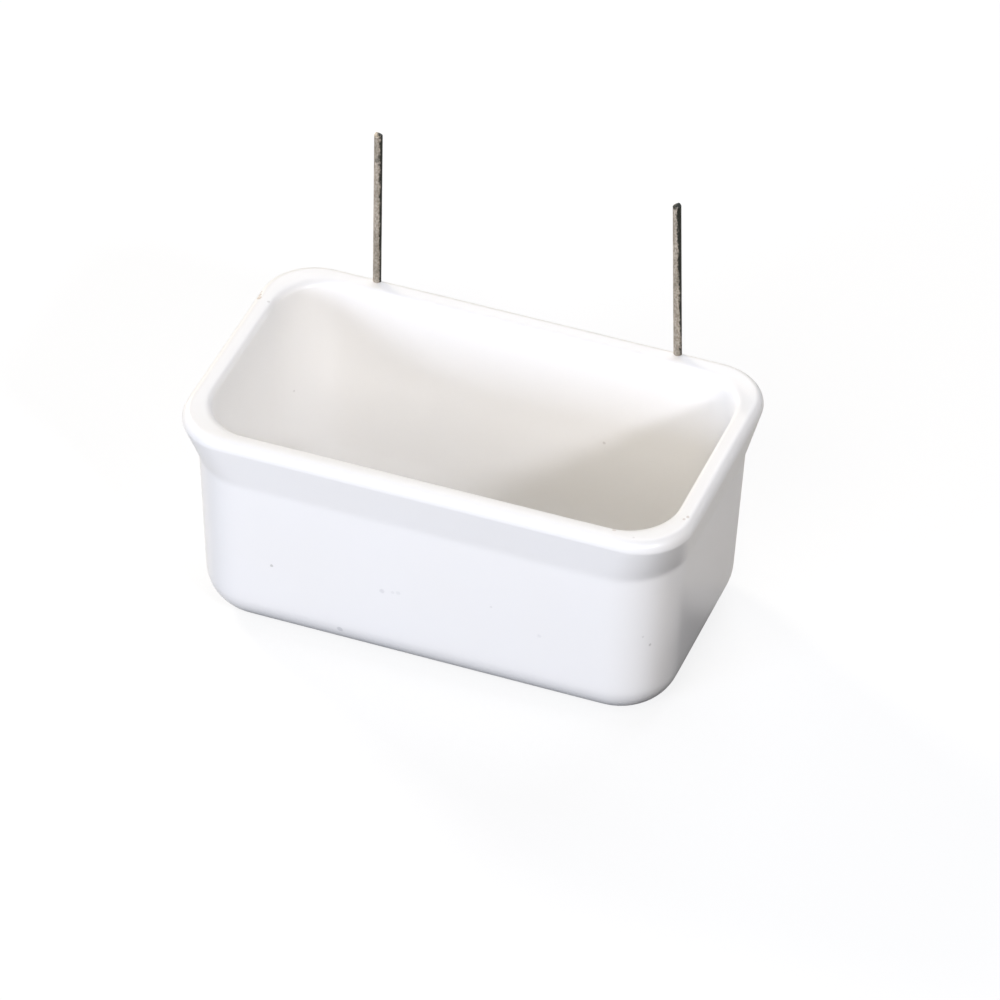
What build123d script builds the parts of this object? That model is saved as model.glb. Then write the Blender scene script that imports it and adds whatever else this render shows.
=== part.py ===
from build123d import *
import os
from math import cos, radians, sin, tan

# Seed cup for a bird cage: one moulded rectangular cup and two straight wire prongs.
# The prongs stand in bosses on the back of the cup and slide up behind the cage's cross wires.
# Frame: millimetres, +Z up, origin in the middle of the flat base.
# +X is to the right and +Y is towards the cage, both seen from the front of the cup.

# Rolled rim: a crown outside, a narrow flat on top, then a slope and a round edge into the mouth
rim_width = 99.6
rim_depth = 58.2
rim_height = 45.8
rim_corner = 10.9
rim_crown = 1.7
rim_crown_drop = 2.0
rim_flat = 0.3
rim_slope = 2.3
rim_dip = 0.35
rim_inner_round = 1.4
rim_under_round = 1.5
rim_under_turn = 18.0

# Flared collar below the rim, down to the crease
collar_drop = 8.4
crease_inset = 1.95
crease_corner = 12.5

# Drafted wall and base
base_inset = 3.4
base_corner = 11.2
base_round = 8.1
wall_at_base = 2.5
floor_thickness = 2.5
cavity_corner = 10.5
cavity_round = 6.4

# Wire prongs, and the flattened tang that each one has inside its boss
prong_spacing = 60.2
prong_to_back = 1.35
wire_radius = 0.8
prong_height = 33.9
shoulder_depth = 0.05
tang_width = 2.0
tang_thickness = 1.1
tang_length = 18.0
socket_clearance = 0.02

# Each prong's lean to the right, in degrees: the left one stands true and the right one leans in
left_lean = 0.0
right_lean = -2.4

# Pinch-cut ends: a low ridge across the wire, which the cutter left at another angle on each one
nip_slope = 24.0
left_nip_turn = -37.0
right_nip_turn = 78.0

# Bosses that carry the tangs
boss_width = 5.0
boss_inset = 0.1
boss_floor = 1.6
boss_under_round = 0.8

# Heights, insets and places that follow from these
rim_land = rim_crown + rim_flat + rim_slope
mouth_z = rim_height - rim_dip
belt_z = rim_height - rim_crown_drop
collar_top = belt_z - rim_under_round * sin(radians(rim_under_turn))
collar_inset = rim_under_round * (1 - cos(radians(rim_under_turn)))
crease_z = collar_top - collar_drop
shoulder_z = rim_height - shoulder_depth
prong_y = rim_depth / 2 - prong_to_back
wire_length = prong_height + shoulder_depth


def plan(inset, corner, z):
    """Rounded rectangle at height z, set in evenly from the outermost edge of the rim."""
    return Pos(0, 0, z) * RectangleRounded(rim_width - 2 * inset, rim_depth - 2 * inset, corner)


def outer_wall():
    """Drafted wall with its rounded base edge, and the flared collar on top of it."""
    base = plan(base_inset, base_corner, 0)
    crease = plan(crease_inset, crease_corner, crease_z)
    wall = loft([base, crease], ruled=True)
    wall = fillet(wall.faces().sort_by(Axis.Z)[0].edges(), base_round)
    collar_end = plan(collar_inset, rim_corner - collar_inset, collar_top)
    return wall + loft([crease, collar_end], ruled=True)


def rim_section():
    """Section of the rim, with its inset along X and its height along Y."""
    crown = EllipticalCenterArc((rim_crown, belt_z), rim_crown, rim_crown_drop, 90, arc_size=90)
    under = JernArc((0, belt_z), (0, -1), rim_under_round, rim_under_turn)
    land = Polyline(crown @ 0, (rim_land, rim_height), (rim_land, collar_top), under @ 1)
    return make_face([crown, under, land])


def rim():
    """Rolled rim, swept round one half of the cup and mirrored, with a solid middle."""
    x, y = rim_width / 2, rim_depth / 2
    path = FilletPolyline((0, -y), (x, -y), (x, y), (0, y), radius=rim_corner)
    half = sweep(Pos(0, -y, 0) * (Plane.YZ * rim_section()), path=path)
    middle = extrude(plan(rim_crown, rim_corner - rim_crown, collar_top), rim_height - collar_top)
    return half + mirror(half, about=Plane.YZ) + middle


def cavity():
    """Space for the seed: a rounded floor edge, drafted sides and the slope inside the rim."""
    floor = plan(base_inset + wall_at_base, cavity_corner, floor_thickness)
    mouth = plan(rim_land, cavity_corner, mouth_z)
    space = loft([floor, mouth], ruled=True)
    space = fillet(space.faces().sort_by(Axis.Z)[0].edges(), cavity_round)
    crest_inset = rim_crown + rim_flat
    crest = plan(crest_inset, rim_corner - crest_inset, rim_height)
    return space + loft([mouth, crest], ruled=True)


def boss(x):
    """Rounded rib behind the wall, just inside the back of the rim, closed below the tang."""
    bottom = shoulder_z - tang_length - boss_floor
    back_round = prong_to_back - boss_inset
    web_depth = rim_land - prong_to_back
    section = SlotOverall(boss_width, 2 * back_round)
    section += Pos(0, -web_depth / 2) * Rectangle(boss_width, web_depth)
    rib = extrude(section, collar_top - bottom)
    rib = fillet(rib.faces().sort_by(Axis.Z)[0].edges(), boss_under_round)
    return Pos(x, prong_y, bottom) * rib


def tang_section(clearance):
    """Flattened wire, with the given clearance all round."""
    return SlotOverall(tang_width + 2 * clearance, tang_thickness + 2 * clearance)


def at_shoulder(x, lean):
    """Place of a prong's shoulder, with its axis turned by the lean."""
    return Pos(x, prong_y, shoulder_z) * Rot(0, lean, 0)


def socket(x, lean):
    """Blind slot for the tang and a shallow seat for the round wire above it."""
    slot = extrude(tang_section(socket_clearance), -tang_length)
    seat = extrude(Circle(wire_radius + socket_clearance), rim_crown_drop)
    return at_shoulder(x, lean) * (slot + seat)


def cup():
    """The moulded cup with its bosses and sockets."""
    shell = outer_wall() + rim()
    shell += boss(-prong_spacing / 2)
    shell += boss(prong_spacing / 2)
    shell -= cavity()
    mouth_edges = shell.edges().filter_by_position(Axis.Z, mouth_z - 0.01, mouth_z + 0.01)
    shell = fillet(mouth_edges, rim_inner_round)
    shell -= socket(-prong_spacing / 2, left_lean)
    return shell - socket(prong_spacing / 2, right_lean)


def nipped_wire(nip_turn):
    """Round wire, pinched off at the top along a ridge that is turned from the X axis."""
    half = 2 * wire_radius
    eave = wire_length - half * tan(radians(nip_slope))
    gable = Polygon((-half, 0), (half, 0), (half, eave), (0, wire_length), (-half, eave), align=None)
    roof = extrude(Plane.YZ * gable, half, both=True)
    return extrude(Circle(wire_radius), wire_length) & Rot(0, 0, nip_turn) * roof


def prong(x, lean, nip_turn):
    """Straight wire with a flattened tang below and a pinch-cut tip."""
    tang = extrude(tang_section(0), -tang_length)
    return at_shoulder(x, lean) * (tang + nipped_wire(nip_turn))


os.makedirs("parts", exist_ok=True)
export_step(cup(), "parts/cup.step")
export_step(prong(-prong_spacing / 2, left_lean, left_nip_turn), "parts/left_prong.step")
export_step(prong(prong_spacing / 2, right_lean, right_nip_turn), "parts/right_prong.step")
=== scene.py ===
"""Looks of a seed cup: a glossy white moulded cup that hangs on a cage by two straight wire prongs.

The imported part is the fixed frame. Sizes are in millimetres, in the part's own axes: +X to the right,
+Y to the cage, +Z up, with the origin in the middle of the flat base. Meshes turn into metres at the end.
"""

import logging
import math
from collections.abc import Callable, Iterable, Iterator, Sequence
from dataclasses import dataclass
from enum import Enum

import bmesh
import bpy
from bmesh.types import BMEdge, BMesh, BMFace, BMVert
from bpy.types import Material, Node, NodeSocket, NodeTree, Object
from mathutils import Matrix, Vector, noise


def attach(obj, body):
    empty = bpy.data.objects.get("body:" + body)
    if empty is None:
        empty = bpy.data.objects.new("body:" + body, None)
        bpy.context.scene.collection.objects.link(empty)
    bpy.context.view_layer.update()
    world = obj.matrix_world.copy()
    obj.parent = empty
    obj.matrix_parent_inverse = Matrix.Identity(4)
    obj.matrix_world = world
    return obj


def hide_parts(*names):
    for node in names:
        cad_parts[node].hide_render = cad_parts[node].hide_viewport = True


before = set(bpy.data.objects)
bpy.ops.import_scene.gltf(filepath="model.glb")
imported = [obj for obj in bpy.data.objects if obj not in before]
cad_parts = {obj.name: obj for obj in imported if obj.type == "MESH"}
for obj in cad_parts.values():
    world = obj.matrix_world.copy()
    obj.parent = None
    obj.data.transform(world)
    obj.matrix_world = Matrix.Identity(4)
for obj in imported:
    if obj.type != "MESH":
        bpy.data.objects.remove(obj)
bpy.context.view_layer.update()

MM = 0.001
BODY = "root"
# Vertices nearer than this to a cutting plane count as on it
ON_PLANE = 1e-5
# Digits of the share of a line at which the softening of an edge begins
SHARE_DIGITS = 3
LOG = logging.getLogger("seed_cup")

Colour = tuple[float, float, float]
Point = tuple[float, float, float]

WHITE: Colour = (1.0, 1.0, 1.0)


class Slot(Enum):
    """Material slots of the part's record."""

    CUP = "white_plastic"
    WIRE = "prong_wire"


class Axis(Enum):
    """Axes of the part's frame."""

    X = Vector((1.0, 0.0, 0.0))
    Y = Vector((0.0, 1.0, 0.0))
    Z = Vector((0.0, 0.0, 1.0))


class MarkKind(Enum):
    """Kinds of mark that years of use have left on the cup."""

    DIRT = "dirt"
    CHIP = "chip"
    SCUFF = "scuff"


@dataclass(frozen=True)
class Mark:
    """One small mark on a surface."""

    place: Point
    radius: float
    strength: float = 1.0


MARKS: dict[MarkKind, tuple[Mark, ...]] = {
    MarkKind.DIRT: (
        Mark((-46.65, 14.1, 45.63), 0.3, 0.3),
        Mark((40.95, -26.7, 45.78), 0.25, 0.2),
        Mark((-29.55, -26.43, 17.5), 0.32, 0.45),
        Mark((13.95, -26.58, 21.1), 0.25, 0.14),
        Mark((43.7, -22.96, 18.6), 0.3, 0.38),
        Mark((42.65, -24.04, 21.0), 0.25, 0.2),
        Mark((17.55, 23.99, 23.6), 0.3, 0.28),
        Mark((-43.3, 18.56, 22.2), 0.25, 0.22),
    ),
    MarkKind.CHIP: (
        Mark((-49.3, 16.8, 45.2), 0.42, 0.4),
        Mark((-49.0, 15.6, 45.45), 0.45, 0.45),
        Mark((-48.75, 14.5, 45.65), 0.5, 0.6),
        Mark((48.05, -17.45, 45.8), 0.35, 0.35),
        Mark((47.6, -18.25, 45.77), 0.3, 0.35),
        Mark((36.9, -25.8, 45.6), 0.35, 0.3),
    ),
    MarkKind.SCUFF: (
        Mark((-7.55, -26.46, 18.2), 0.5, 0.6),
        Mark((-5.4, -26.47, 18.5), 0.35, 0.35),
        Mark((-4.35, -26.48, 18.7), 0.45, 0.35),
        Mark((-16.15, -25.66, 5.8), 0.6, 1.0),
        Mark((23.4, -26.41, 17.0), 0.4, 0.35),
    ),
}


def steps(start: float, end: float, count: int) -> Iterator[float]:
    """Evenly spaced values from start to end, both kept, with count gaps between them."""
    return (start + (end - start) * index / count for index in range(count + 1))


def steps_after(start: float, end: float, count: int) -> list[float]:
    """Evenly spaced values as steps gives them, without the first."""
    return list(steps(start, end, count))[1:]


def soft_max(first: float, second: float, blend: float) -> float:
    """The larger of two heights, with a rounded passage where they differ by less than the blend."""
    nearness = max(blend - abs(first - second), 0.0) / blend
    return max(first, second) + nearness * nearness * blend / 4.0


def direction(azimuth: float, elevation: float) -> Vector:
    """Direction turned from the front to the right by the azimuth and up by the elevation, in degrees."""
    turn, rise = math.radians(azimuth), math.radians(elevation)
    return Vector((math.sin(turn) * math.cos(rise), -math.cos(turn) * math.cos(rise), math.sin(rise)))


def opaque(colour: Colour) -> tuple[float, float, float, float]:
    """The colour with full alpha."""
    return (*colour, 1.0)


def slice_across(bm: BMesh, inside: Callable[[BMFace], bool], axis: Axis, places: Iterable[float]) -> None:
    """Adds cuts across an axis, so that small forms have vertices to stand on.

    Args:
        bm: The mesh.
        inside: Says whether a face is in the region to cut.
        axis: The axis that the cuts stand across.
        places: Where on that axis the cuts lie.
    """
    along = axis.value
    for place in places:
        faces = [face for face in bm.faces if inside(face)]
        edges = list(dict.fromkeys(edge for face in faces for edge in face.edges))
        verts = list(dict.fromkeys(vert for face in faces for vert in face.verts))
        region = verts + edges + faces
        bmesh.ops.bisect_plane(bm, geom=region, dist=ON_PLANE, plane_co=along * place, plane_no=along)


def add_object(name: str, data: bpy.types.ID) -> Object:
    """Puts a mesh, lamp or camera into the scene.

    Args:
        name: The object's name.
        data: What it shows.

    Returns:
        The object.
    """
    thing = bpy.data.objects.new(name, data)
    bpy.context.scene.collection.objects.link(thing)
    return thing


def add_mesh(bm: BMesh, name: str, material: Material) -> Object:
    """Puts a mesh in metres into the scene.

    Args:
        bm: The finished mesh, which is freed.
        name: The object's name.
        material: Its finish.

    Returns:
        The object.
    """
    mesh = bpy.data.meshes.new(name)
    bm.to_mesh(mesh)
    bm.free()
    mesh.materials.append(material)
    return add_object(name, mesh)


def add_piece(bm: BMesh, name: str, node: str, material: Material) -> Object:
    """Turns a mesh in millimetres into a piece of the part, with its faces outwards.

    Args:
        bm: The finished mesh, which is freed.
        name: The piece's name.
        node: The node of the part that the piece stands for.
        material: The piece's finish.

    Returns:
        The piece, which rides on the part's one body.
    """
    bmesh.ops.recalc_face_normals(bm, faces=bm.faces)
    if bm.calc_volume(signed=True) < 0:
        bmesh.ops.reverse_faces(bm, faces=bm.faces)
    bmesh.ops.scale(bm, vec=(MM, MM, MM), verts=bm.verts)
    piece = add_mesh(bm, name, material)
    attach(piece, BODY)
    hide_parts(node)
    return piece


class Nodes:
    """A short way to add and join the nodes of one shader tree."""

    def __init__(self, tree: NodeTree) -> None:
        """Keeps the tree that the nodes go into."""
        self.tree = tree

    def feed(self, node: Node, inputs: dict) -> None:
        """Fills inputs of a node.

        Args:
            node: The node.
            inputs: A value or an output socket for each input, by name or number.
        """
        for key, value in inputs.items():
            if isinstance(value, NodeSocket):
                self.tree.links.new(value, node.inputs[key])
            else:
                node.inputs[key].default_value = value

    def add(self, kind: str, inputs: dict | None = None, **settings: object) -> Node:
        """Adds one node.

        Args:
            kind: The node's type, without its ShaderNode prefix.
            inputs: A value or an output socket for each input, by name or number.
            settings: Properties of the node.

        Returns:
            The new node.
        """
        node = self.tree.nodes.new("ShaderNode" + kind)
        for key, value in settings.items():
            setattr(node, key, value)
        self.feed(node, inputs or {})
        return node

    def group(self, tree: NodeTree, inputs: dict) -> NodeSocket:
        """Places a node group and gives the socket of its first output."""
        return self.add("Group", inputs, node_tree=tree).outputs[0]

    def math(self, operation: str, first: object, second: object = 0.0) -> NodeSocket:
        """Adds a Math node and gives the socket of its result."""
        return self.add("Math", {0: first, 1: second}, operation=operation).outputs[0]

    def vector(self, operation: str, first: object, second: object = (0.0, 0.0, 0.0)) -> Node:
        """Adds a Vector Math node, whose result is a vector or a value."""
        return self.add("VectorMath", {0: first, 1: second}, operation=operation)

    def ramp(self, value: object, low: object, high: object) -> NodeSocket:
        """Adds a smooth Map Range node and gives its result's socket: 0 at the low end, 1 at the high one."""
        inputs = {"Value": value, "From Min": low, "From Max": high}
        return self.add("MapRange", inputs, interpolation_type="SMOOTHSTEP").outputs[0]

    def blend(self, factor: object, first: object, second: object) -> NodeSocket:
        """Adds a Mix node for colours.

        Args:
            factor: How much of the second colour shows.
            first: The first colour or socket.
            second: The second colour or socket.

        Returns:
            The mixed colour's socket.
        """
        mix = self.add("Mix", data_type="RGBA")
        number = {socket.identifier: index for index, socket in enumerate(mix.inputs)}
        self.feed(mix, {number["Factor_Float"]: factor, number["A_Color"]: first, number["B_Color"]: second})
        return next(socket for socket in mix.outputs if socket.identifier == "Result_Color")


@dataclass(frozen=True)
class Grain:
    """Noise over a surface: its bumps for each millimetre, and how many finer layers lie on them."""

    scale: float
    detail: float

    def height(self, nodes: Nodes, place: NodeSocket) -> NodeSocket:
        """Adds the noise and gives the socket of its value at a place in millimetres."""
        inputs = {"Vector": place, "Scale": self.scale, "Detail": self.detail}
        return nodes.add("TexNoise", inputs).outputs[0]


class Effects:
    """Node groups that the finishes share, each built once."""

    PATCH_DETAIL = 5.0
    SPOT_GRAIN = Grain(1.7, 3.0)
    # A spot fades out between these shares of its radius
    SPOT_OUTER = 1.25
    SPOT_INNER = 0.65
    NOISE_MIDDLE = 0.5

    def __init__(self) -> None:
        """Builds the groups."""
        self.patches = self._patches()
        self.spot = self._spot()

    @staticmethod
    def _tree(name: str, inputs: dict[str, str]) -> tuple[Nodes, Sequence[NodeSocket], Node]:
        """Starts a group with one output, a mask from 0 to 1.

        Args:
            name: The group's name.
            inputs: Socket type of each input, by name.

        Returns:
            The group's nodes, the sockets of its inputs and its output node.
        """
        tree = bpy.data.node_groups.new(name, "ShaderNodeTree")
        for label, kind in inputs.items():
            tree.interface.new_socket(label, in_out="INPUT", socket_type="NodeSocket" + kind)
        tree.interface.new_socket("Mask", in_out="OUTPUT", socket_type="NodeSocketFloat")
        given = tree.nodes.new("NodeGroupInput")
        return Nodes(tree), given.outputs[: len(inputs)], tree.nodes.new("NodeGroupOutput")

    def _patches(self) -> NodeTree:
        """Uneven patches of noise.

        Returns:
            A group with a mask that is 1 inside the patches.
        """
        sockets = {"Vector": "Vector", "Scale": "Float", "Coverage": "Float", "Softness": "Float"}
        nodes, (place, scale, coverage, softness), out = self._tree("uneven_patches", sockets)
        grain = nodes.add("TexNoise", {"Vector": place, "Scale": scale, "Detail": self.PATCH_DETAIL})
        edge = nodes.math("SUBTRACT", 1.0, coverage)
        low = nodes.math("SUBTRACT", edge, softness)
        high = nodes.math("ADD", edge, softness)
        nodes.feed(out, {0: nodes.ramp(grain.outputs[0], low, high)})
        return nodes.tree

    def _spot(self) -> NodeTree:
        """One small mark with a ragged edge.

        Returns:
            A group with a mask that is 1 in the mark.
        """
        sockets = {"Vector": "Vector", "Centre": "Vector", "Radius": "Float", "Ragged": "Float"}
        nodes, (place, centre, radius, ragged), out = self._tree("ragged_spot", sockets)
        away = nodes.vector("DISTANCE", place, centre).outputs["Value"]
        swing = nodes.math("SUBTRACT", self.SPOT_GRAIN.height(nodes, place), self.NOISE_MIDDLE)
        swing = nodes.math("MULTIPLY", swing, ragged)
        edge = nodes.math("ADD", nodes.math("DIVIDE", away, radius), swing)
        nodes.feed(out, {0: nodes.ramp(edge, self.SPOT_OUTER, self.SPOT_INNER)})
        return nodes.tree

    def marks(self, nodes: Nodes, place: NodeSocket, marks: Iterable[Mark], ragged: float) -> NodeSocket:
        """Places the spots of several marks.

        Args:
            nodes: The material's nodes.
            place: Place on the surface in millimetres.
            marks: The marks.
            ragged: How uneven their edges are.

        Returns:
            A mask that has each mark's strength inside it.
        """
        mask: NodeSocket | float = 0.0
        for mark in marks:
            inputs = {"Vector": place, "Centre": mark.place, "Radius": mark.radius, "Ragged": ragged}
            spot = nodes.math("MULTIPLY", nodes.group(self.spot, inputs), mark.strength)
            mask = nodes.math("MAXIMUM", mask, spot)
        return mask


@dataclass(frozen=True)
class Patches:
    """Uneven patches on a surface: bumps for each millimetre, share that is covered, and soft edge."""

    scale: float
    coverage: float
    softness: float

    def mask(self, nodes: Nodes, effects: Effects, place: NodeSocket) -> NodeSocket:
        """Adds the patches and gives the socket of a mask that is 1 inside them."""
        inputs = {"Vector": place, "Scale": self.scale, "Coverage": self.coverage, "Softness": self.softness}
        return nodes.group(effects.patches, inputs)


def new_material(name: str) -> tuple[Material, Nodes, Node]:
    """Starts a material.

    Args:
        name: The material's name.

    Returns:
        The material, its nodes and its shader.
    """
    material = bpy.data.materials.new(name)
    material.use_nodes = True
    tree = material.node_tree
    return material, Nodes(tree), tree.nodes["Principled BSDF"]


@dataclass(frozen=True)
class MouldedWhite:
    """Glossy white moulding, slightly uneven in tone, with the marks of use."""

    white: Colour = (0.91, 0.898, 0.876)
    aged: Colour = (0.902, 0.886, 0.857)
    dirt: Colour = (0.30, 0.27, 0.24)
    chip: Colour = (0.34, 0.21, 0.12)
    scuff: Colour = (0.72, 0.71, 0.70)
    tone: Patches = Patches(0.035, 0.5, 0.3)
    gloss: float = 0.28
    dull: float = 0.34
    wear: Patches = Patches(0.08, 0.5, 0.3)
    specular: float = 0.5
    refraction: float = 1.49
    wave: Grain = Grain(0.055, 1.0)
    wave_depth: float = 0.012
    grain: Grain = Grain(1.6, 3.0)
    grain_depth: float = 0.0015
    ragged: float = 1.1

    def colour_of(self, kind: MarkKind) -> Colour:
        """The colour of one kind of mark."""
        return {MarkKind.DIRT: self.dirt, MarkKind.CHIP: self.chip, MarkKind.SCUFF: self.scuff}[kind]

    def material(self, effects: Effects, marks: dict[MarkKind, tuple[Mark, ...]]) -> Material:
        """Builds the material.

        Args:
            effects: The shared node groups.
            marks: The marks of use by kind, in the part's frame.

        Returns:
            The material.
        """
        material, nodes, shader = new_material("moulded_white")
        metres = nodes.add("TexCoord").outputs["Object"]
        place = nodes.vector("MULTIPLY", metres, (1 / MM,) * 3).outputs[0]
        colour = nodes.blend(self.tone.mask(nodes, effects, place), opaque(self.white), opaque(self.aged))
        for kind, alike in marks.items():
            mask = effects.marks(nodes, place, alike, self.ragged)
            colour = nodes.blend(mask, colour, opaque(self.colour_of(kind)))
        worn = nodes.math("MULTIPLY", self.wear.mask(nodes, effects, place), self.dull - self.gloss)
        waves = nodes.math("MULTIPLY", self.wave.height(nodes, place), self.wave_depth / self.grain_depth)
        height = nodes.math("ADD", waves, self.grain.height(nodes, place))
        bump = nodes.add("Bump", {"Height": height, "Strength": 1.0, "Distance": self.grain_depth * MM})
        surface = {
            "Base Color": colour,
            "Roughness": nodes.math("ADD", worn, self.gloss),
            "IOR": self.refraction,
            "Specular IOR Level": self.specular,
            "Normal": bump.outputs[0],
        }
        nodes.feed(shader, surface)
        return material


@dataclass(frozen=True)
class WeatheredWire:
    """Drawn steel wire gone dull and grainy, with dark tarnish and painted shade that darkens one side.

    Places on a wire are in millimetres from its shoulder at the rim, with Z along the wire.
    """

    seed: float
    spread: float
    creep: float
    stains_and_tip_shade: tuple[Mark, ...]
    length: float = 33.9
    bare: Colour = (0.33, 0.285, 0.232)
    pale: Colour = (0.54, 0.485, 0.415)
    fine: Patches = Patches(2.6, 0.5, 0.14)
    grain_stretch: float = 0.7
    grime: Colour = (0.18, 0.162, 0.125)
    grimy: Patches = Patches(0.9, 0.47, 0.16)
    grime_share: float = 0.55
    drawn_stretch: float = 0.25
    dark: Colour = (0.014, 0.016, 0.011)
    # Painted shade: the wire is darkened on the side that faces this way
    shaded_side: Point = (0.94, 0.34, 0.0)
    shaded_side_weight: float = 0.5
    streaks: Grain = Grain(1.6, 4.0)
    streak_weight: float = 0.55
    specks: Grain = Grain(2.9, 3.0)
    speck_weight: float = 0.45
    tarnish_and_shade_start: float = 0.58
    tarnish_and_shade_full: float = 0.80
    ragged: float = 0.8
    specular: float = 0.2
    metal: float = 0.6
    metal_lost: float = 0.55
    roughness: float = 0.42
    roughness_span: float = 0.12
    pits: Grain = Grain(4.0, 4.0)
    pit_depth: float = 0.06

    def material(self, name: str, effects: Effects) -> Material:
        """Builds the material.

        Args:
            name: The material's name.
            effects: The shared node groups.

        Returns:
            The material, which reads the wire's own place attribute.
        """
        material, nodes, shader = new_material(name)
        place = nodes.add("Attribute", attribute_name=Prong.PLACE).outputs["Vector"]
        grained = self._stretched(nodes, place, self.grain_stretch)
        drawn = self._stretched(nodes, place, self.drawn_stretch)
        fine = self.fine.mask(nodes, effects, grained)
        colour = nodes.blend(fine, opaque(self.bare), opaque(self.pale))
        grimy = nodes.math("MULTIPLY", self.grimy.mask(nodes, effects, drawn), self.grime_share)
        colour = nodes.blend(grimy, colour, opaque(self.grime))
        stains_and_tip_shade = effects.marks(nodes, place, self.stains_and_tip_shade, self.ragged)
        # Real tarnish, the painted shade of one side and the marks at the tip join here
        tarnish_and_shade = nodes.math("MAXIMUM", self._tarnish_and_side_shade(nodes, place, grained, drawn), stains_and_tip_shade)
        height = self.pits.height(nodes, grained)
        bump = nodes.add("Bump", {"Height": height, "Strength": 1.0, "Distance": self.pit_depth * MM})
        surface = {
            "Base Color": nodes.blend(tarnish_and_shade, colour, opaque(self.dark)),
            "Metallic": nodes.math("SUBTRACT", self.metal, nodes.math("MULTIPLY", tarnish_and_shade, self.metal_lost)),
            "Roughness": nodes.math("ADD", self.roughness, nodes.math("MULTIPLY", fine, self.roughness_span)),
            "Specular IOR Level": self.specular,
            "Normal": bump.outputs[0],
        }
        nodes.feed(shader, surface)
        return material

    def _stretched(self, nodes: Nodes, place: NodeSocket, scale: float) -> NodeSocket:
        """Place for patterns that are drawn out along the wire and differ from wire to wire."""
        inputs = {"Vector": place, "Location": (0.0, 0.0, self.seed), "Scale": (1.0, 1.0, scale)}
        return nodes.add("Mapping", inputs).outputs[0]

    def _tarnish_and_side_shade(self, nodes: Nodes, place: NodeSocket, grained: NodeSocket, drawn: NodeSocket) -> NodeSocket:
        """Mask of the dark tarnish, with painted shade on one side of the wire.

        Args:
            nodes: The material's nodes.
            place: Place on the wire.
            grained: Place for fine grain.
            drawn: Place for streaks along the wire.

        Returns:
            A mask that is 1 where the wire is black.
        """
        height = nodes.add("SeparateXYZ", {0: place}).outputs["Z"]
        rise = nodes.math("SUBTRACT", height, self.length / 2)
        cover = nodes.math("ADD", nodes.math("MULTIPLY", rise, self.creep / self.length), self.spread)
        for value, weight in (
            # Painted shade: darker on one side of the wire
            (nodes.vector("DOT_PRODUCT", place, self.shaded_side).outputs["Value"], self.shaded_side_weight),
            (self.streaks.height(nodes, drawn), self.streak_weight),
            (self.specks.height(nodes, grained), self.speck_weight),
        ):
            cover = nodes.math("ADD", cover, nodes.math("MULTIPLY", value, weight))
        return nodes.ramp(cover, self.tarnish_and_shade_start, self.tarnish_and_shade_full)


LEFT_STEEL = WeatheredWire(
    seed=-17.0,
    spread=0.03,
    creep=0.06,
    stains_and_tip_shade=(
        Mark((0.62, -0.3, 29.2), 0.7, 0.8),
        Mark((0.1, -0.75, 28.4), 0.55, 0.55),
        # Painted shade on the shaded side of the cut tip
        Mark((0.5, 0.05, 33.7), 0.75),
    ),
)
RIGHT_STEEL = WeatheredWire(
    seed=23.0,
    spread=0.08,
    creep=0.3,
    stains_and_tip_shade=(
        # These two darken the tip and the right side just below it
        Mark((-0.2, -0.3, 33.7), 0.62),
        Mark((0.7, 0.15, 32.9), 0.8),
    ),
)


@dataclass(frozen=True)
class Station:
    """One level of the shell: a rounded rectangle, set in evenly from the rim's outermost edge."""

    inset: float
    height: float
    corner: float

    @staticmethod
    def mix(weighted: Iterable[tuple[float, "Station"]]) -> "Station":
        """Mixes stations.

        Args:
            weighted: Each station with its weight, where the weights add up to 1.

        Returns:
            The station between them.
        """
        parts = list(weighted)
        inset = sum(weight * station.inset for weight, station in parts)
        height = sum(weight * station.height for weight, station in parts)
        return Station(inset, height, sum(weight * station.corner for weight, station in parts))

    def towards(self, other: "Station", share: float) -> "Station":
        """The station at a share of the straight line to another one."""
        return Station.mix(((1 - share, self), (share, other)))

    def softened(self, other: "Station", share: float) -> "Station":
        """The station towards another one at which the softening of an edge begins."""
        return self.towards(other, round(share, SHARE_DIGITS))

    def line(self, other: "Station", count: int) -> list["Station"]:
        """Stations on the straight line to another one, without this one."""
        return [self.towards(other, share) for share in steps_after(0.0, 1.0, count)]

    def bend(self, corner: "Station", last: "Station", count: int) -> list["Station"]:
        """Stations on a soft curve that stands for a corner.

        Args:
            corner: The corner.
            last: Where the curve joins the line from the corner, which is kept.
            count: How many stations are made.

        Returns:
            The stations in order, without this one.
        """
        curve = []
        for share in steps_after(0.0, 1.0, count):
            weights = ((1 - share) ** 2, 2 * share * (1 - share), share**2)
            curve.append(Station.mix(zip(weights, (self, corner, last))))
        return curve


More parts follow.
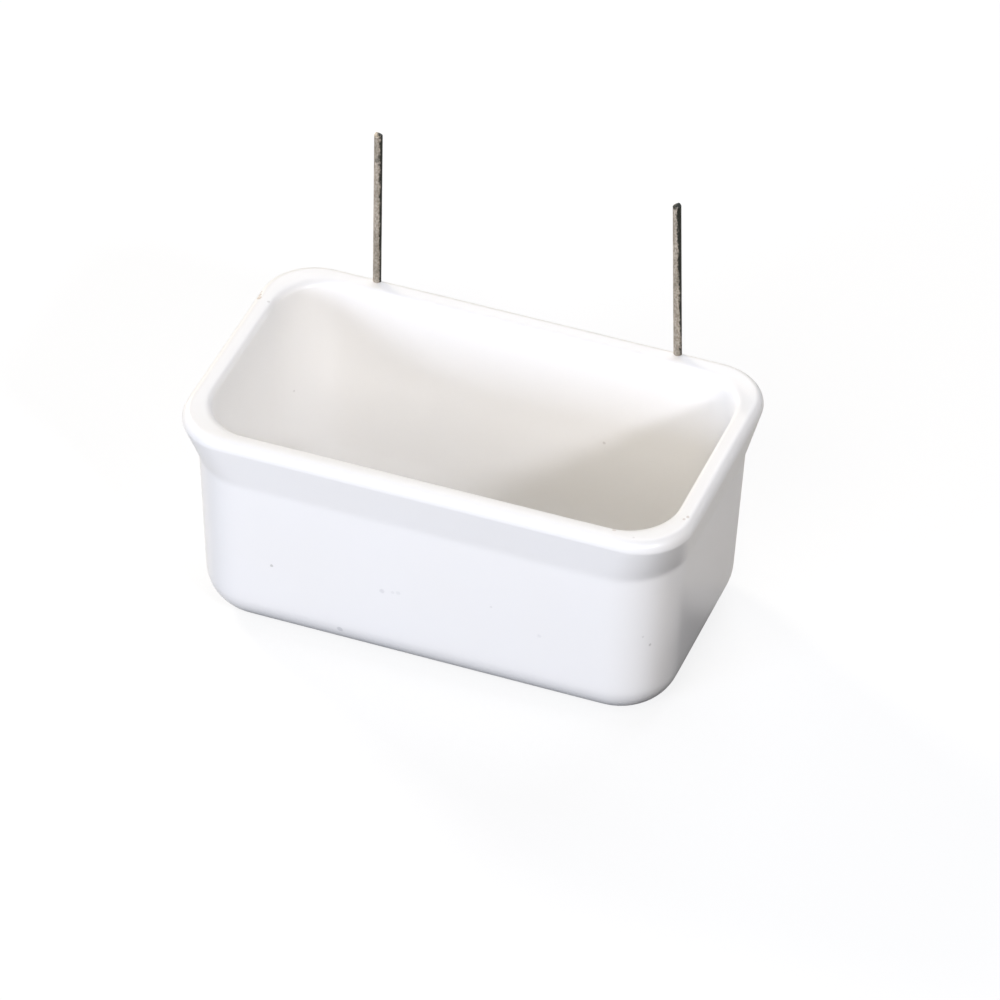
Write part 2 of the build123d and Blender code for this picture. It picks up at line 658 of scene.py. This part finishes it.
@dataclass(frozen=True)
class RingLoft:
    """Skins a row of rounded rectangles into one closed shell."""

    width: float
    depth: float
    corner_steps: int = 14
    long_steps: int = 14
    short_steps: int = 8
    least_side: float = 12.0

    def ring(self, bm: BMesh, station: Station) -> list[BMEdge]:
        """Adds one rounded rectangle without a face.

        Args:
            bm: The mesh.
            station: Its inset, height and corner radius.

        Returns:
            The edges of the ring.
        """
        before = set(bm.verts)
        half = (self.width / 2 - station.inset, self.depth / 2 - station.inset, 1.0)
        place = Matrix.Translation((0.0, 0.0, station.height)) @ Matrix.Diagonal((*half, 1.0))
        corners = bmesh.ops.create_grid(bm, x_segments=1, y_segments=1, size=1.0, matrix=place)["verts"]
        bmesh.ops.bevel(
            bm,
            geom=corners,
            offset=station.corner,
            offset_type="OFFSET",
            affect="VERTICES",
            segments=self.corner_steps,
            profile=0.5,
            material=-1,
        )
        face = next(vert for vert in bm.verts if vert not in before).link_faces[0]
        edges = list(face.edges)
        bmesh.ops.delete(bm, geom=[face], context="FACES_ONLY")
        return edges

    def divide_sides(self, bm: BMesh) -> None:
        """Divides the straight sides, so that the mesh is about as fine there as at the corners.

        Args:
            bm: The shell.
        """
        sides = [edge for edge in bm.edges if edge.calc_length() > self.least_side]
        runs = [edge.verts[1].co - edge.verts[0].co for edge in sides]
        lengthwise = [edge for edge, run in zip(sides, runs) if abs(run.x) > abs(run.y)]
        bmesh.ops.subdivide_edges(bm, edges=lengthwise, cuts=self.long_steps - 1, use_grid_fill=True)
        sides = [edge for edge in bm.edges if edge.calc_length() > self.least_side]
        bmesh.ops.subdivide_edges(bm, edges=sides, cuts=self.short_steps - 1, use_grid_fill=True)

    def shell(self, stations: Iterable[Station]) -> BMesh:
        """Joins the rings in order and closes both ends.

        Args:
            stations: The levels, from the middle of the base to the middle of the seed floor.

        Returns:
            The closed mesh.
        """
        bm = bmesh.new()
        rings = [self.ring(bm, station) for station in stations]
        for lower, upper in zip(rings, rings[1:]):
            bmesh.ops.bridge_loops(bm, edges=lower + upper)
        for end in (rings[0], rings[-1]):
            bmesh.ops.edgeloop_fill(bm, edges=end)
        self.divide_sides(bm)
        bmesh.ops.recalc_face_normals(bm, faces=bm.faces)
        return bm


@dataclass(frozen=True)
class ShellLevels:
    """How many levels each stretch of the shell has."""

    base_round: int = 12
    wall: int = 9
    crease: int = 5
    collar: int = 6
    under_rim: int = 4
    crown: int = 9
    crest: int = 4
    inner_round: int = 7
    cavity_side: int = 10
    cavity_round: int = 10


@dataclass(frozen=True)
class RibCuts:
    """Region of the back wall that carries the ribs, and the cuts that give it vertices."""

    lowest: float = 8.0
    below_collar_top: float = 0.2
    beside_rib: float = 4.0
    half_width: float = 3.6
    upright: int = 24
    under_foot: float = 1.2
    over_foot: float = 1.8
    level: int = 10


@dataclass(frozen=True)
class ChipShape:
    """Form of the chips in the rim. The limit and the cuts' reach are in radii of a chip."""

    depth: float = 0.12
    limit: float = 1.6
    ragged: float = 0.5
    grain: float = 2.5
    region: Point = (2.5, 6.0, 1.5)
    cut_reach: float = 2.2
    cuts: int = 12


@dataclass
class CupShell:
    """The moulded cup: rounded base, drafted wall, flared collar, rolled rim, seed space and back ribs."""

    width: float = 99.6
    depth: float = 58.2
    height: float = 45.8
    rim_corner: float = 10.9
    rim_crown: float = 1.7
    rim_crown_drop: float = 2.0
    rim_flat: float = 0.3
    rim_slope: float = 2.3
    rim_dip: float = 0.35
    rim_soften: float = 0.9
    rim_inner_round: float = 1.4
    under_round: float = 1.5
    under_turn: float = 18.0
    collar_drop: float = 8.4
    crease_inset: float = 1.95
    crease_corner: float = 12.5
    crease_soften: float = 0.9
    base_inset: float = 3.4
    base_corner: float = 11.2
    base_round: float = 8.1
    base_flat: float = 9.0
    wall_at_base: float = 2.5
    floor_height: float = 2.5
    floor_flat: float = 8.0
    flat_corners: tuple[float, ...] = (2.5, 1.5)
    cavity_corner: float = 10.5
    cavity_round: float = 6.4
    rib_spacing: float = 60.2
    rib_width: float = 5.0
    rib_round: float = 1.25
    rib_inset: float = 0.1
    rib_bottom: float = 26.15
    rib_steep_share: float = 0.96
    rib_side_slope: float = 4.0
    rib_fillet: float = 0.5
    shoulder_depth: float = 0.05
    levels: ShellLevels = ShellLevels()
    rib_cuts: RibCuts = RibCuts()
    chip_shape: ChipShape = ChipShape()

    @property
    def belt_height(self) -> float:
        """Height of the rim's outermost line."""
        return self.height - self.rim_crown_drop

    @property
    def collar_top(self) -> Station:
        """Where the collar meets the round under the rim."""
        return self.under_rim(math.radians(self.under_turn))

    @property
    def crease(self) -> Station:
        """Where the wall turns out into the collar."""
        return Station(self.crease_inset, self.collar_top.height - self.collar_drop, self.crease_corner)

    @property
    def crest(self) -> Station:
        """Where the top of the rim begins to slope inwards."""
        inset = self.rim_crown + self.rim_flat
        return Station(inset, self.height, self.rim_corner - inset)

    @property
    def mouth(self) -> Station:
        """Where the slope of the rim would meet the sides of the seed space."""
        return Station(self.crest.inset + self.rim_slope, self.height - self.rim_dip, self.cavity_corner)

    @property
    def cavity_slope(self) -> float:
        """How far the seed space narrows for each millimetre down."""
        mouth = self.mouth
        return (self.base_inset + self.wall_at_base - mouth.inset) / (mouth.height - self.floor_height)

    def prong_foot(self, side: int) -> Point:
        """Where a prong's shoulder stands on the back rim: side is -1 for the left and 1 for the right."""
        back = self.depth / 2 - self.rib_inset - self.rib_round
        return (side * self.rib_spacing / 2, back, self.height - self.shoulder_depth)

    def under_rim(self, turn: float) -> Station:
        """Station on the round under the rim, at an angle in radians below its outermost line."""
        inset = self.under_round * (1 - math.cos(turn))
        return Station(inset, self.belt_height - self.under_round * math.sin(turn), self.rim_corner - inset)

    def flat(self, edge: float, span: float, height: float) -> list[Station]:
        """Rings on a flat at a height, from the inset of its edge inwards, which keep its mesh even."""
        inwards = steps_after(0.0, span, len(self.flat_corners))
        return [Station(edge + inward, height, corner) for inward, corner in zip(inwards, self.flat_corners)]

    def base_stations(self) -> list[Station]:
        """The flat base and its large rounded edge.

        Returns:
            The stations, up to where the round meets the wall.
        """
        crease = self.crease
        slope = (self.base_inset - crease.inset) / crease.height
        draft = math.atan(slope)
        contact = self.base_round * (1 - math.sin(draft))
        wall_inset = self.base_inset - slope * contact
        wall_corner = self.base_corner + (crease.corner - self.base_corner) * contact / crease.height
        centre = wall_inset + self.base_round * math.cos(draft)
        stations = self.flat(centre, self.base_flat, 0.0)[::-1]
        for turn in steps(-math.pi / 2, -draft, self.levels.base_round):
            inset = centre - self.base_round * math.cos(turn)
            height = self.base_round * (1 + math.sin(turn))
            stations.append(Station(inset, height, wall_corner - (inset - wall_inset)))
        return stations

    def wall_stations(self, start: Station) -> list[Station]:
        """The drafted wall, the softened crease and the collar.

        Args:
            start: Where the wall begins.

        Returns:
            The stations, up to the round under the rim.
        """
        crease, top = self.crease, self.collar_top
        below = crease.softened(start, self.crease_soften / (crease.height - start.height))
        above = crease.softened(top, self.crease_soften / self.collar_drop)
        wall = start.line(below, self.levels.wall)
        return wall + below.bend(crease, above, self.levels.crease) + above.line(top, self.levels.collar)

    def rim_stations(self) -> list[Station]:
        """The rolled rim, from its under side over the crown to the inner edge.

        Returns:
            The stations, down to where the inner round meets the seed space.
        """
        under = steps_after(math.radians(self.under_turn), 0.0, self.levels.under_rim)
        stations = [self.under_rim(turn) for turn in under]
        for turn in steps_after(0.0, math.pi / 2, self.levels.crown):
            inset = self.rim_crown * (1 - math.cos(turn))
            height = self.belt_height + self.rim_crown_drop * math.sin(turn)
            stations.append(Station(inset, height, self.rim_corner - inset))
        crest, mouth = self.crest, self.mouth
        inner = crest.softened(mouth, self.rim_soften / self.rim_slope)
        stations += stations[-1].bend(crest, inner, self.levels.crest)
        fall, draft = math.atan(self.rim_dip / self.rim_slope), math.atan(self.cavity_slope)
        opening = (math.pi / 2 + fall + draft) / 2
        reach = self.rim_inner_round / math.sin(opening)
        centre_inset = mouth.inset - reach * math.cos(opening - fall)
        centre_height = mouth.height - reach * math.sin(opening - fall)
        for turn in steps(fall, math.pi / 2 - draft, self.levels.inner_round):
            inset = centre_inset + self.rim_inner_round * math.sin(turn)
            height = centre_height + self.rim_inner_round * math.cos(turn)
            share = min((inset - crest.inset) / self.rim_slope, 1.0)
            stations.append(Station(inset, height, crest.towards(mouth, share).corner))
        return stations

    def cavity_stations(self, start: Station) -> list[Station]:
        """The seed space: drafted sides, a round at the foot and a flat floor.

        Args:
            start: Where the sides begin, below the rim's inner round.

        Returns:
            The stations, to the middle of the floor.
        """
        mouth, radius, corner = self.mouth, self.cavity_round, self.cavity_corner
        draft = math.atan(self.cavity_slope)
        middle = self.floor_height + radius
        centre = mouth.inset + (mouth.height - middle) * self.cavity_slope + radius / math.cos(draft)
        foot = Station(centre - radius * math.cos(draft), middle + radius * math.sin(draft), corner)
        stations = start.line(foot, self.levels.cavity_side)
        for turn in steps_after(-draft, math.pi / 2, self.levels.cavity_round):
            inset = centre - radius * math.cos(turn)
            stations.append(Station(inset, middle - radius * math.sin(turn), corner - (inset - foot.inset)))
        return stations + self.flat(centre, self.floor_flat, self.floor_height)

    def stations(self) -> list[Station]:
        """All levels, from the middle of the base over the rim to the middle of the floor.

        Returns:
            The stations in order.
        """
        base = self.base_stations()
        wall = self.wall_stations(base[-1])
        rim = self.rim_stations()
        return base + wall + rim + self.cavity_stations(rim[-1])

    def rib_reach(self, across: float, height: float) -> float:
        """How far back a rib comes.

        Args:
            across: Distance from the rib's middle line.
            height: Height above the base.

        Returns:
            The rib's surface along Y.
        """
        sideways = max(abs(across) - (self.rib_width / 2 - self.rib_round), 0.0)
        below = max(self.rib_bottom + self.rib_round - height, 0.0)
        away = math.hypot(sideways, below)
        steep = self.rib_round * self.rib_steep_share
        rounded = math.sqrt(self.rib_round**2 - min(away, steep) ** 2)
        edge = self.depth / 2 - self.rib_inset - self.rib_round + rounded
        return edge - max(away - steep, 0.0) * self.rib_side_slope

    def raise_ribs(self, bm: BMesh) -> None:
        """Raises the two ribs on the back wall.

        Args:
            bm: The shell.
        """
        cuts = self.rib_cuts
        outside = self.depth / 2 - self.base_inset
        top = self.collar_top.height - cuts.below_collar_top
        aside = self.rib_width + cuts.beside_rib

        def on_back(place: Vector) -> bool:
            """True for places on the back wall and collar."""
            return place.y > outside and cuts.lowest < place.z < top

        def near_rib(face: BMFace) -> bool:
            """True for faces of the back wall and collar near a rib."""
            middle = face.calc_center_median()
            return abs(abs(middle.x) - self.rib_spacing / 2) < aside and on_back(middle)

        for side in (-1, 1):
            middle = side * self.rib_spacing / 2
            upright = steps(middle - cuts.half_width, middle + cuts.half_width, cuts.upright)
            slice_across(bm, near_rib, Axis.X, upright)
        level = steps(self.rib_bottom - cuts.under_foot, self.rib_bottom + cuts.over_foot, cuts.level)
        slice_across(bm, near_rib, Axis.Z, level)
        for vert in bm.verts:
            if on_back(vert.co):
                reach = self.rib_reach(abs(vert.co.x) - self.rib_spacing / 2, vert.co.z)
                vert.co.y = soft_max(vert.co.y, reach, self.rib_fillet)

    def chip_rim(self, bm: BMesh, chips: Sequence[Mark]) -> None:
        """Knocks small chips out of the rim.

        Args:
            bm: The shell.
            chips: Where they are.
        """
        shape = self.chip_shape
        for chip in chips:
            place = Vector(chip.place)
            reach = shape.cut_reach * chip.radius

            def near(face: BMFace, place: Vector = place) -> bool:
                """True for faces of the rim close to the chip."""
                away = face.calc_center_median() - place
                return all(abs(gap) < most for gap, most in zip(away, shape.region))

            slice_across(bm, near, Axis.Y, steps(place.y - reach, place.y + reach, shape.cuts))
        bm.normal_update()
        moves: list[tuple[BMVert, Vector]] = []
        for vert in bm.verts:
            for chip in chips:
                away = (vert.co - Vector(chip.place)).length / chip.radius
                share = 1.0 - away + shape.ragged * noise.noise(vert.co * shape.grain)
                if away < shape.limit and share > 0.0:
                    moves.append((vert, vert.normal * -min(share, 1.0) * shape.depth))
                    break
        for vert, move in moves:
            vert.co += move

    def build(self, finish: Material, chips: Sequence[Mark]) -> Object:
        """Builds and dresses the cup.

        Args:
            finish: The cup's material.
            chips: The chips in its rim.

        Returns:
            The piece.
        """
        bm = RingLoft(self.width, self.depth).shell(self.stations())
        self.raise_ribs(bm)
        self.chip_rim(bm, chips)
        for face in bm.faces:
            face.smooth = True
        piece = add_piece(bm, "seed_cup_shell", "cup", finish)
        rounding = piece.modifiers.new("rounding", "SUBSURF")
        rounding.levels = 1
        rounding.render_levels = 1
        return piece


@dataclass
class Prong:
    """Straight wire that stands up from the back rim, flattened inside its rib and pinched off at its tip."""

    PLACE = "wire_place"

    name: str
    node: str
    foot: Point
    lean: float
    nip_turn: float
    nip_slope: float = 24.0
    radius: float = 0.8
    length: float = 33.95
    tang_length: float = 18.0
    tang_width: float = 2.0
    tang_thickness: float = 1.1
    tang_taper: float = 1.5
    sides: int = 32
    cuts: int = 70
    first_cut: float = 1.0
    last_cut: float = 0.6
    roughness: float = 0.012
    roughness_stretch: float = 0.35
    tip_round: float = 0.06
    tip_segments: int = 2
    sharp_angle: float = 0.6

    def build(self, finish: Material) -> Object:
        """Builds and dresses the prong.

        Args:
            finish: The wire's material.

        Returns:
            The piece.
        """
        bm = self.wire()
        self.flatten_tang(bm)
        self.pinch_tip(bm)
        self.roughen(bm)
        place = bm.verts.layers.float_vector.new(self.PLACE)
        for vert in bm.verts:
            vert[place] = vert.co
        stand = Matrix.Translation(self.foot) @ Matrix.Rotation(math.radians(self.lean), 4, "Y")
        bmesh.ops.transform(bm, matrix=stand, verts=bm.verts)
        return add_piece(bm, self.name, self.node, finish)

    def wire(self) -> BMesh:
        """Plain round wire from the end of the tang to the tip, with its shoulder at height 0.

        Returns:
            The mesh.
        """
        whole = self.length + self.tang_length
        bm = bmesh.new()
        bmesh.ops.create_cone(
            bm,
            cap_ends=True,
            segments=self.sides,
            radius1=self.radius,
            radius2=self.radius,
            depth=whole,
            matrix=Matrix.Translation((0.0, 0.0, whole / 2 - self.tang_length)),
        )
        for face in bm.faces:
            face.smooth = len(face.verts) == 4
        places = steps(self.first_cut - self.tang_length, self.length - self.last_cut, self.cuts)
        slice_across(bm, lambda face: True, Axis.Z, places)
        return bm

    def flatten_tang(self, bm: BMesh) -> None:
        """Presses the wire flat below the rim, where the rib holds it.

        Args:
            bm: The wire.
        """
        for vert in bm.verts:
            share = min(max(-vert.co.z / self.tang_taper, 0.0), 1.0)
            share = share * share * (3 - 2 * share)
            vert.co.x *= 1 + share * (self.tang_width / (2 * self.radius) - 1)
            vert.co.y *= 1 + share * (self.tang_thickness / (2 * self.radius) - 1)

    def pinch_tip(self, bm: BMesh) -> None:
        """Cuts the tip to a low ridge with two slanting planes and breaks its edges.

        Args:
            bm: The wire.
        """
        turn, slope = math.radians(self.nip_turn), math.radians(self.nip_slope)
        for side in (-1, 1):
            across = Vector((-math.sin(turn), math.cos(turn), 0.0)) * side
            cut = bmesh.ops.bisect_plane(
                bm,
                geom=list(bm.verts) + list(bm.edges) + list(bm.faces),
                dist=ON_PLANE,
                plane_co=Axis.Z.value * self.length,
                plane_no=across * math.sin(slope) + Axis.Z.value * math.cos(slope),
                clear_outer=True,
            )
            rim = [item for item in cut["geom_cut"] if isinstance(item, BMEdge)]
            bmesh.ops.edgeloop_fill(bm, edges=rim)
        above = [edge for edge in bm.edges if edge.verts[0].co.z > 0]
        bmesh.ops.bevel(
            bm,
            geom=[edge for edge in above if edge.calc_face_angle(0.0) > self.sharp_angle],
            offset=self.tip_round,
            affect="EDGES",
            segments=self.tip_segments,
            profile=0.5,
            material=-1,
        )

    def roughen(self, bm: BMesh) -> None:
        """Gives the wire the slight unevenness of old drawn steel.

        Args:
            bm: The wire.
        """
        for vert in bm.verts:
            along = vert.co.z * self.roughness_stretch + self.foot[0]
            swing = noise.noise(Vector((vert.co.x, vert.co.y, along)))
            vert.co += Vector((vert.co.x, vert.co.y, 0.0)) * (swing * self.roughness / self.radius)


@dataclass(frozen=True)
class Softbox:
    """Square soft lamp that faces the cup from one direction.

    Its level is the brightness that it alone gives to a white matt surface that faces it.
    """

    name: str
    azimuth: float
    elevation: float
    size: float
    level: float
    colour: Colour
    distance: float = 1500.0

    def add(self, aim: Vector) -> Object:
        """Adds the lamp.

        Args:
            aim: The point that it faces, in metres.

        Returns:
            The lamp.
        """
        away = direction(self.azimuth, self.elevation)
        lamp = bpy.data.lights.new(self.name, "AREA")
        lamp.shape = "SQUARE"
        lamp.size = self.size * MM
        lamp.energy = self.level * (math.pi * self.distance * MM) ** 2
        lamp.color = self.colour
        holder = add_object(self.name, lamp)
        holder.location = aim + away * self.distance * MM
        holder.rotation_euler = away.to_track_quat("Z", "Y").to_euler()
        return holder


@dataclass(frozen=True)
class Studio:
    """Pale floor and soft light round the cup.

    The floor's shade is a dark rectangle under the cup and at the foot of its right wall. It fades out,
    and shows in reflections and bounced light alone.
    """

    floor_size: float = 6000.0
    floor_glow: float = 0.8
    floor_matt: Colour = (0.22, 0.22, 0.22)
    floor_mirrored: Colour = (0.8, 0.775, 0.73)
    floor_bounce: Colour = (0.16, 0.152, 0.14)
    shade_colour: Colour = (0.01, 0.009, 0.008)
    shade_middle: Point = (12.0, -8.0, 0.0)
    shade_half: Point = (46.4, 14.0, 0.0)
    shade_fade: float = 10.0
    sky: Colour = (0.02, 0.02, 0.02)
    lamps: tuple[Softbox, ...] = (
        Softbox("front_top", 0.0, 38.0, 800.0, 0.38, (1.0, 0.95, 0.90)),
        Softbox("front_left_low", -30.0, 10.0, 420.0, 0.66, (0.755, 0.828, 1.0)),
        Softbox("key_right", 50.0, 30.0, 160.0, 0.41, (0.89, 0.91, 1.0)),
        Softbox("right_side", 95.0, 30.0, 500.0, 0.08, (1.0, 0.94, 0.87)),
        Softbox("back_left", -120.0, 25.0, 315.0, 0.56, (1.0, 0.912, 0.765)),
        Softbox("back_top", 180.0, 45.0, 1000.0, 0.41, (0.86, 0.905, 1.0)),
    )

    def _clear(self, nodes: Nodes) -> NodeSocket:
        """How clear of the shade a place on the floor lies.

        Args:
            nodes: The floor's nodes.

        Returns:
            The socket of a mask that is 0 in the shade and 1 beyond its fade.
        """
        place = nodes.add("TexCoord").outputs["Object"]
        moved = nodes.vector("SUBTRACT", place, Vector(self.shade_middle) * MM).outputs[0]
        around = nodes.vector("ABSOLUTE", moved).outputs[0]
        past = nodes.vector("SUBTRACT", around, Vector(self.shade_half) * MM).outputs[0]
        outside = nodes.vector("MAXIMUM", past).outputs[0]
        return nodes.ramp(nodes.vector("LENGTH", outside).outputs["Value"], 0.0, self.shade_fade * MM)

    def _floor_material(self) -> Material:
        """White floor that shows a soft shadow, with tones of its own and a painted shade under and beside
        the cup in reflections and bounced light.

        Returns:
            The material.
        """
        material, nodes, shader = new_material("floor_white")
        nodes.tree.nodes.remove(shader)
        matt = nodes.add("BsdfDiffuse", {"Color": opaque(self.floor_matt)})
        glow = nodes.add("Emission", {"Color": opaque(WHITE), "Strength": self.floor_glow})
        shown = nodes.add("AddShader", {0: glow.outputs[0], 1: matt.outputs[0]})
        # Painted shade: a dark rectangle on the floor that only reflections and bounced light see
        clear, shade = self._clear(nodes), opaque(self.shade_colour)
        mirrored, bounced = (
            nodes.add("BsdfDiffuse", {"Color": nodes.blend(clear, shade, opaque(colour))}).outputs[0]
            for colour in (self.floor_mirrored, self.floor_bounce)
        )
        path = nodes.add("LightPath").outputs
        other = nodes.add("MixShader", {0: path["Is Glossy Ray"], 1: bounced, 2: mirrored})
        seen = nodes.math("MAXIMUM", path["Is Camera Ray"], path["Is Transmission Ray"])
        mixed = nodes.add("MixShader", {0: seen, 1: other.outputs[0], 2: shown.outputs[0]})
        nodes.feed(nodes.tree.nodes["Material Output"], {"Surface": mixed.outputs[0]})
        return material

    def add_floor(self) -> Object:
        """Adds the floor.

        Returns:
            The floor, which is no part of the cup.
        """
        bm = bmesh.new()
        bmesh.ops.create_grid(bm, x_segments=1, y_segments=1, size=self.floor_size / 2 * MM)
        floor = add_mesh(bm, "floor", self._floor_material())
        return floor

    def add_world(self) -> None:
        """Adds the soft light from all round, in front of a white backdrop."""
        world = bpy.data.worlds.new("studio")
        world.use_nodes = True
        tree = world.node_tree
        nodes = Nodes(tree)
        light = tree.nodes["Background"]
        nodes.feed(light, {"Color": opaque(self.sky)})
        white = nodes.add("Background", {"Color": opaque(WHITE), "Strength": 1.0})
        path = nodes.add("LightPath").outputs
        mirrored = nodes.math("MAXIMUM", path["Is Glossy Ray"], path["Is Transmission Ray"])
        seen = nodes.math("MAXIMUM", path["Is Camera Ray"], mirrored)
        mixed = nodes.add("MixShader", {0: seen, 1: light.outputs[0], 2: white.outputs[0]})
        nodes.feed(tree.nodes["World Output"], {"Surface": mixed.outputs[0]})
        bpy.context.scene.world = world

    def build(self, aim: Vector) -> None:
        """Adds floor, backdrop and lamps.

        Args:
            aim: The point that the lamps face, in metres.
        """
        self.add_floor()
        self.add_world()
        for lamp in self.lamps:
            lamp.add(aim)
        bpy.context.scene.view_settings.view_transform = "Standard"


@dataclass(frozen=True)
class View:
    """Camera at the photograph's angle, above the front and a little to the right."""

    azimuth: float = 19.80
    elevation: float = 38.62
    roll: float = 1.41
    aim: Point = (5.03, 1.64, 22.65)
    distance: float = 1244.0
    farthest: float = 20000.0
    lens: float = 240.0
    sensor: float = 36.0

    def add(self) -> Object:
        """Adds the camera and makes it the scene's own.

        Returns:
            The camera.
        """
        back = direction(self.azimuth, self.elevation)
        right = direction(self.azimuth + 90.0, 0.0)
        level = Matrix((right, back.cross(right), back)).transposed()
        camera = bpy.data.cameras.new("camera")
        camera.lens = self.lens
        camera.sensor_width = self.sensor
        camera.clip_end = self.farthest * MM
        holder = add_object("camera", camera)
        holder.rotation_euler = (level @ Matrix.Rotation(math.radians(self.roll), 3, "Z")).to_euler()
        holder.location = (Vector(self.aim) + back * self.distance) * MM
        bpy.context.scene.camera = holder
        return holder


def main() -> None:
    """Builds the cup, its prongs, the studio and the camera, and reports each piece."""
    logging.basicConfig(level=logging.INFO, format="%(name)s: %(message)s")
    effects = Effects()
    shell = CupShell()
    pieces = [shell.build(MouldedWhite().material(effects, MARKS), MARKS[MarkKind.CHIP])]
    left = Prong("left_prong_wire", "left_prong", shell.prong_foot(-1), lean=0.0, nip_turn=-37.0)
    right = Prong("right_prong_wire", "right_prong", shell.prong_foot(1), lean=-2.4, nip_turn=78.0)
    for prong, finish in ((left, LEFT_STEEL), (right, RIGHT_STEEL)):
        pieces.append(prong.build(finish.material(prong.node + "_steel", effects)))
    view = View()
    Studio().build(Vector(view.aim) * MM)
    view.add()
    bpy.context.view_layer.update()
    for piece in pieces:
        size = piece.dimensions / MM
        LOG.info("%s: %.1f x %.1f x %.1f mm, %d faces", piece.name, *size, len(piece.data.polygons))


if __name__ == "__main__":
    main()
